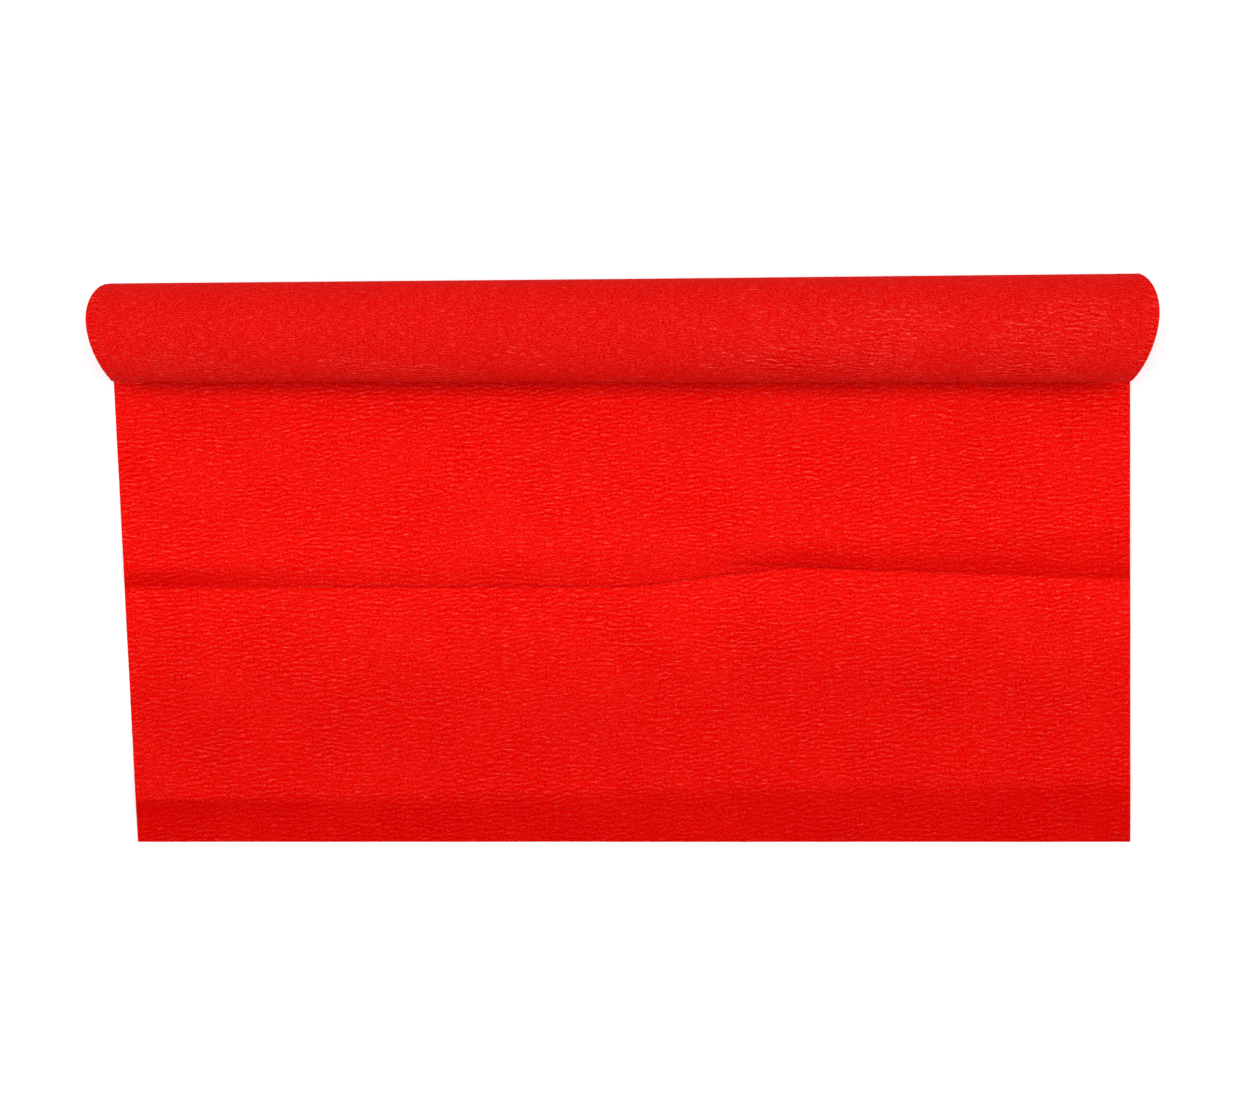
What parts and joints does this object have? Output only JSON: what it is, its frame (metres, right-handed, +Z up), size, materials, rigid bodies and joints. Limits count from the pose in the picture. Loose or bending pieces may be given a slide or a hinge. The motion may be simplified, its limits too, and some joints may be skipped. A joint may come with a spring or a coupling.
{
  "type": "backdrop paper roll",
  "caption": "Roll of red crepe backdrop paper on a board core, its free end pulled out from under the roll and laid flat with two cross creases.",
  "frame": {"origin": "on the table, under the middle of the whole object", "axes": "+X along the roll, +Y from the free edge towards the roll, +Z up from the table"},
  "size_m": [0.5, 0.2764, 0.0535],
  "materials": {
    "red_crepe": "matte",
    "kraft_board": "matte",
    "tape": "satin"
  },
  "bodies": {
    "laid_sheet": {"near_sheet": "red_crepe"},
    "middle": {"middle_panel": "red_crepe"},
    "flap": {"end_flap": "red_crepe"},
    "lead": {"lead_curl": "red_crepe"},
    "roll": {"wound_paper": "red_crepe", "core_tube": "kraft_board", "start_tape": "tape"}
  },
  "joints": [
    {"name": "roll_travel", "type": "slide", "parent": "laid_sheet", "child": "lead", "axis": [0, 1, 0], "range_m": [-0.041, 0.122]},
    {"name": "roll_turn", "type": "hinge", "parent": "lead", "child": "roll", "pos_m": [0, 0.1118, 0.02715], "axis": [-1, 0, 0], "range_deg": [-88, 261]},
    {"name": "first_fold", "type": "hinge", "parent": "laid_sheet", "child": "middle", "pos_m": [0, -0.0062, 0.00045], "axis": [-1, 0, 0], "range_deg": [0, 120]},
    {"name": "second_fold", "type": "hinge", "parent": "middle", "child": "flap", "pos_m": [0, -0.1122, 0.00045], "axis": [-1, 0, 0], "range_deg": [0, 150]}
  ],
  "couplings": [
    {"joint": "roll_turn", "follows": "roll_travel", "rad_per_m": 37.14}
  ]
}
